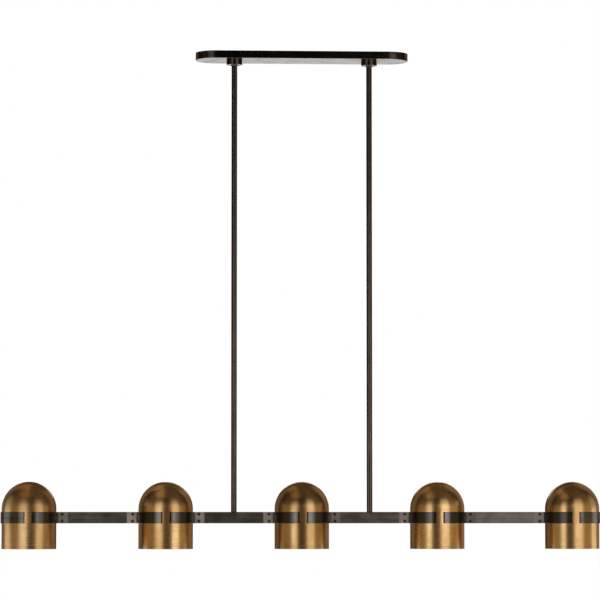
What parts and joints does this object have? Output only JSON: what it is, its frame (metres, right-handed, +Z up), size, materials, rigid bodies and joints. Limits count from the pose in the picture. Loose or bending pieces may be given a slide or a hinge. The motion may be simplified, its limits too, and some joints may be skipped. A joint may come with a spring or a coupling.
{
  "type": "linear island pendant",
  "caption": "Row of domed metal shades on a slim bar, hung from a long ceiling canopy by two stems that swing on ball swivels, for lighting a kitchen island or table.",
  "frame": {"origin": "on the ceiling plane, at the middle of the slots in the ceiling plate and of the canopy", "axes": "+X along the row of shades, +Z up, the front faces -Y"},
  "size_m": [1.6828, 0.1568, 1.3963],
  "materials": {
    "satin_brass": "spun and satin brushed, lightly aged",
    "dark_bronze": "dark bronze, satin",
    "black_screws": "blackened, satin",
    "zinc_steel": "zinc plated",
    "green_screw": "green passivated",
    "connector_plastic": "moulded",
    "black_cable": "smooth sheath",
    "black_plastic": "moulded",
    "lamp_white": "frosted white"
  },
  "bodies": {
    "canopy": {"ceiling_plate": "zinc_steel", "canopy_cover": "dark_bronze", "swivel_housing_left": "dark_bronze", "swivel_housing_right": "dark_bronze", "collar_left": "dark_bronze", "collar_right": "dark_bronze", "housing_screws": "zinc_steel", "ground_screw": "green_screw", "wire_connectors": "connector_plastic", "canopy_cable": "black_cable"},
    "pendant": {"shade_1": "satin_brass", "shade_2": "satin_brass", "shade_3": "satin_brass", "shade_4": "satin_brass", "shade_5": "satin_brass", "clamp_straps_1": "dark_bronze", "clamp_straps_2": "dark_bronze", "clamp_straps_3": "dark_bronze", "clamp_straps_4": "dark_bronze", "clamp_straps_5": "dark_bronze", "bar_1": "dark_bronze", "bar_2": "dark_bronze", "bar_3": "dark_bronze", "bar_4": "dark_bronze", "stem_left_upper": "dark_bronze", "stem_left_middle": "dark_bronze", "stem_left_lower": "dark_bronze", "stem_right_upper": "dark_bronze", "stem_right_middle": "dark_bronze", "stem_right_lower": "dark_bronze", "end_band_1": "dark_bronze", "end_band_5": "dark_bronze", "end_plugs_bar_1": "dark_bronze", "end_plugs_bar_2": "dark_bronze", "end_plugs_bar_3": "dark_bronze", "end_plugs_bar_4": "dark_bronze", "swivel_ball_left": "dark_bronze", "swivel_ball_right": "dark_bronze", "strap_screws": "black_screws", "grub_screws": "black_screws", "socket_bracket_1": "zinc_steel", "socket_bracket_2": "zinc_steel", "socket_bracket_3": "zinc_steel", "socket_bracket_4": "zinc_steel", "socket_bracket_5": "zinc_steel", "stem_fixings": "zinc_steel", "bracket_screws": "zinc_steel", "holder_fixings": "zinc_steel", "harness": "black_cable", "splice_block": "black_plastic", "lampholder_1": "black_plastic", "lampholder_2": "black_plastic", "lampholder_3": "black_plastic", "lampholder_4": "black_plastic", "lampholder_5": "black_plastic"},
    "bulb_1": {"bulb_1": "lamp_white"},
    "bulb_2": {"bulb_2": "lamp_white"},
    "bulb_3": {"bulb_3": "lamp_white"},
    "bulb_4": {"bulb_4": "lamp_white"},
    "bulb_5": {"bulb_5": "lamp_white"}
  },
  "joints": [
    {"name": "swing", "type": "hinge", "parent": "canopy", "child": "pendant", "pos_m": [0, 0, -0.0255], "axis": [1, 0, 0], "range_deg": [-15, 15]},
    {"name": "bulb_1_unscrew", "type": "slide", "parent": "pendant", "child": "bulb_1", "axis": [0, 0, -1], "range_m": [0, 0.028]},
    {"name": "bulb_2_unscrew", "type": "slide", "parent": "pendant", "child": "bulb_2", "axis": [0, 0, -1], "range_m": [0, 0.028]},
    {"name": "bulb_3_unscrew", "type": "slide", "parent": "pendant", "child": "bulb_3", "axis": [0, 0, -1], "range_m": [0, 0.028]},
    {"name": "bulb_4_unscrew", "type": "slide", "parent": "pendant", "child": "bulb_4", "axis": [0, 0, -1], "range_m": [0, 0.028]},
    {"name": "bulb_5_unscrew", "type": "slide", "parent": "pendant", "child": "bulb_5", "axis": [0, 0, -1], "range_m": [0, 0.028]}
  ]
}
